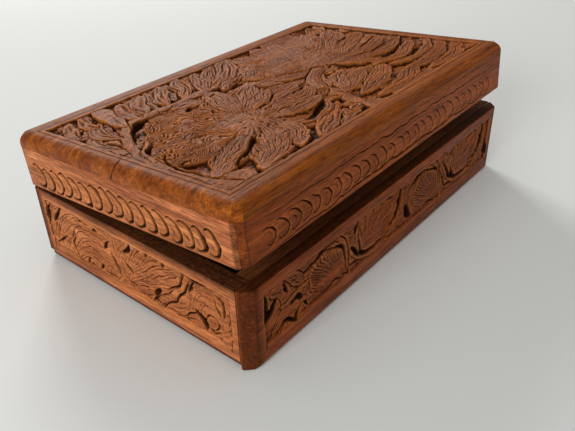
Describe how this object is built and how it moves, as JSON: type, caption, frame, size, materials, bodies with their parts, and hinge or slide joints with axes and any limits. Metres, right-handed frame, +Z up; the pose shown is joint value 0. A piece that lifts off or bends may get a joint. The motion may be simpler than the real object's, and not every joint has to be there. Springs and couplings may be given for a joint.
{
  "type": "puzzle box",
  "caption": "Rectangular carved wooden box with a hinged lid, a face board that slides sideways over a hidden keyhole and a bottom that slides out to release the key.",
  "frame": {"origin": "middle of the base, on the surface that the box stands on", "axes": "+X along the long side, to the right when facing the opening side; the opening side faces -Y and the hinges are at +Y; +Z up"},
  "size_m": [0.2, 0.1289, 0.07],
  "materials": {
    "carved_wood": "hand carved, oiled, satin",
    "dark_wood": "planed, oiled",
    "inner_wood": "planed, thin oil",
    "brass": "sheet brass, aged",
    "steel": "plain steel"
  },
  "bodies": {
    "case": {"back_board": "carved_wood", "left_end_board": "carved_wood", "right_end_board": "carved_wood", "inner_front_board": "inner_wood", "floor_board": "inner_wood", "lock_case": "brass", "lock_cap": "brass", "key_post": "steel", "lock_screws": "steel", "keyhole_plate": "brass", "keyhole_pins": "brass", "key": "steel", "case_hinge_leaves": "brass", "hinge_pins": "steel", "case_hinge_screws": "steel"},
    "face": {"face_board": "carved_wood", "face_batten": "inner_wood", "batten_pins": "steel"},
    "bottom": {"sliding_bottom": "dark_wood", "bottom_stop_peg": "inner_wood"},
    "bolt": {"lock_bolt": "brass", "bolt_spring": "steel"},
    "lid": {"lid_board": "carved_wood", "lid_front_rail": "carved_wood", "lid_back_rail": "carved_wood", "lid_left_rail": "carved_wood", "lid_right_rail": "carved_wood", "strike_plate": "brass", "strike_screws": "steel", "lid_hinge_leaves": "brass", "lid_hinge_screws": "steel"}
  },
  "joints": [
    {"name": "lid_hinge", "type": "hinge", "parent": "case", "child": "lid", "pos_m": [0, 0.0638, 0.0366], "axis": [-1, 0, 0], "range_deg": [-4.4, 95.6]},
    {"name": "face_slide", "type": "slide", "parent": "case", "child": "face", "axis": [1, 0, 0], "range_m": [0, 0.034]},
    {"name": "bottom_slide", "type": "slide", "parent": "case", "child": "bottom", "axis": [-1, 0, 0], "range_m": [0, 0.045]},
    {"name": "bolt_slide", "type": "slide", "parent": "case", "child": "bolt", "axis": [1, 0, 0], "range_m": [0, 0.005]}
  ]
}
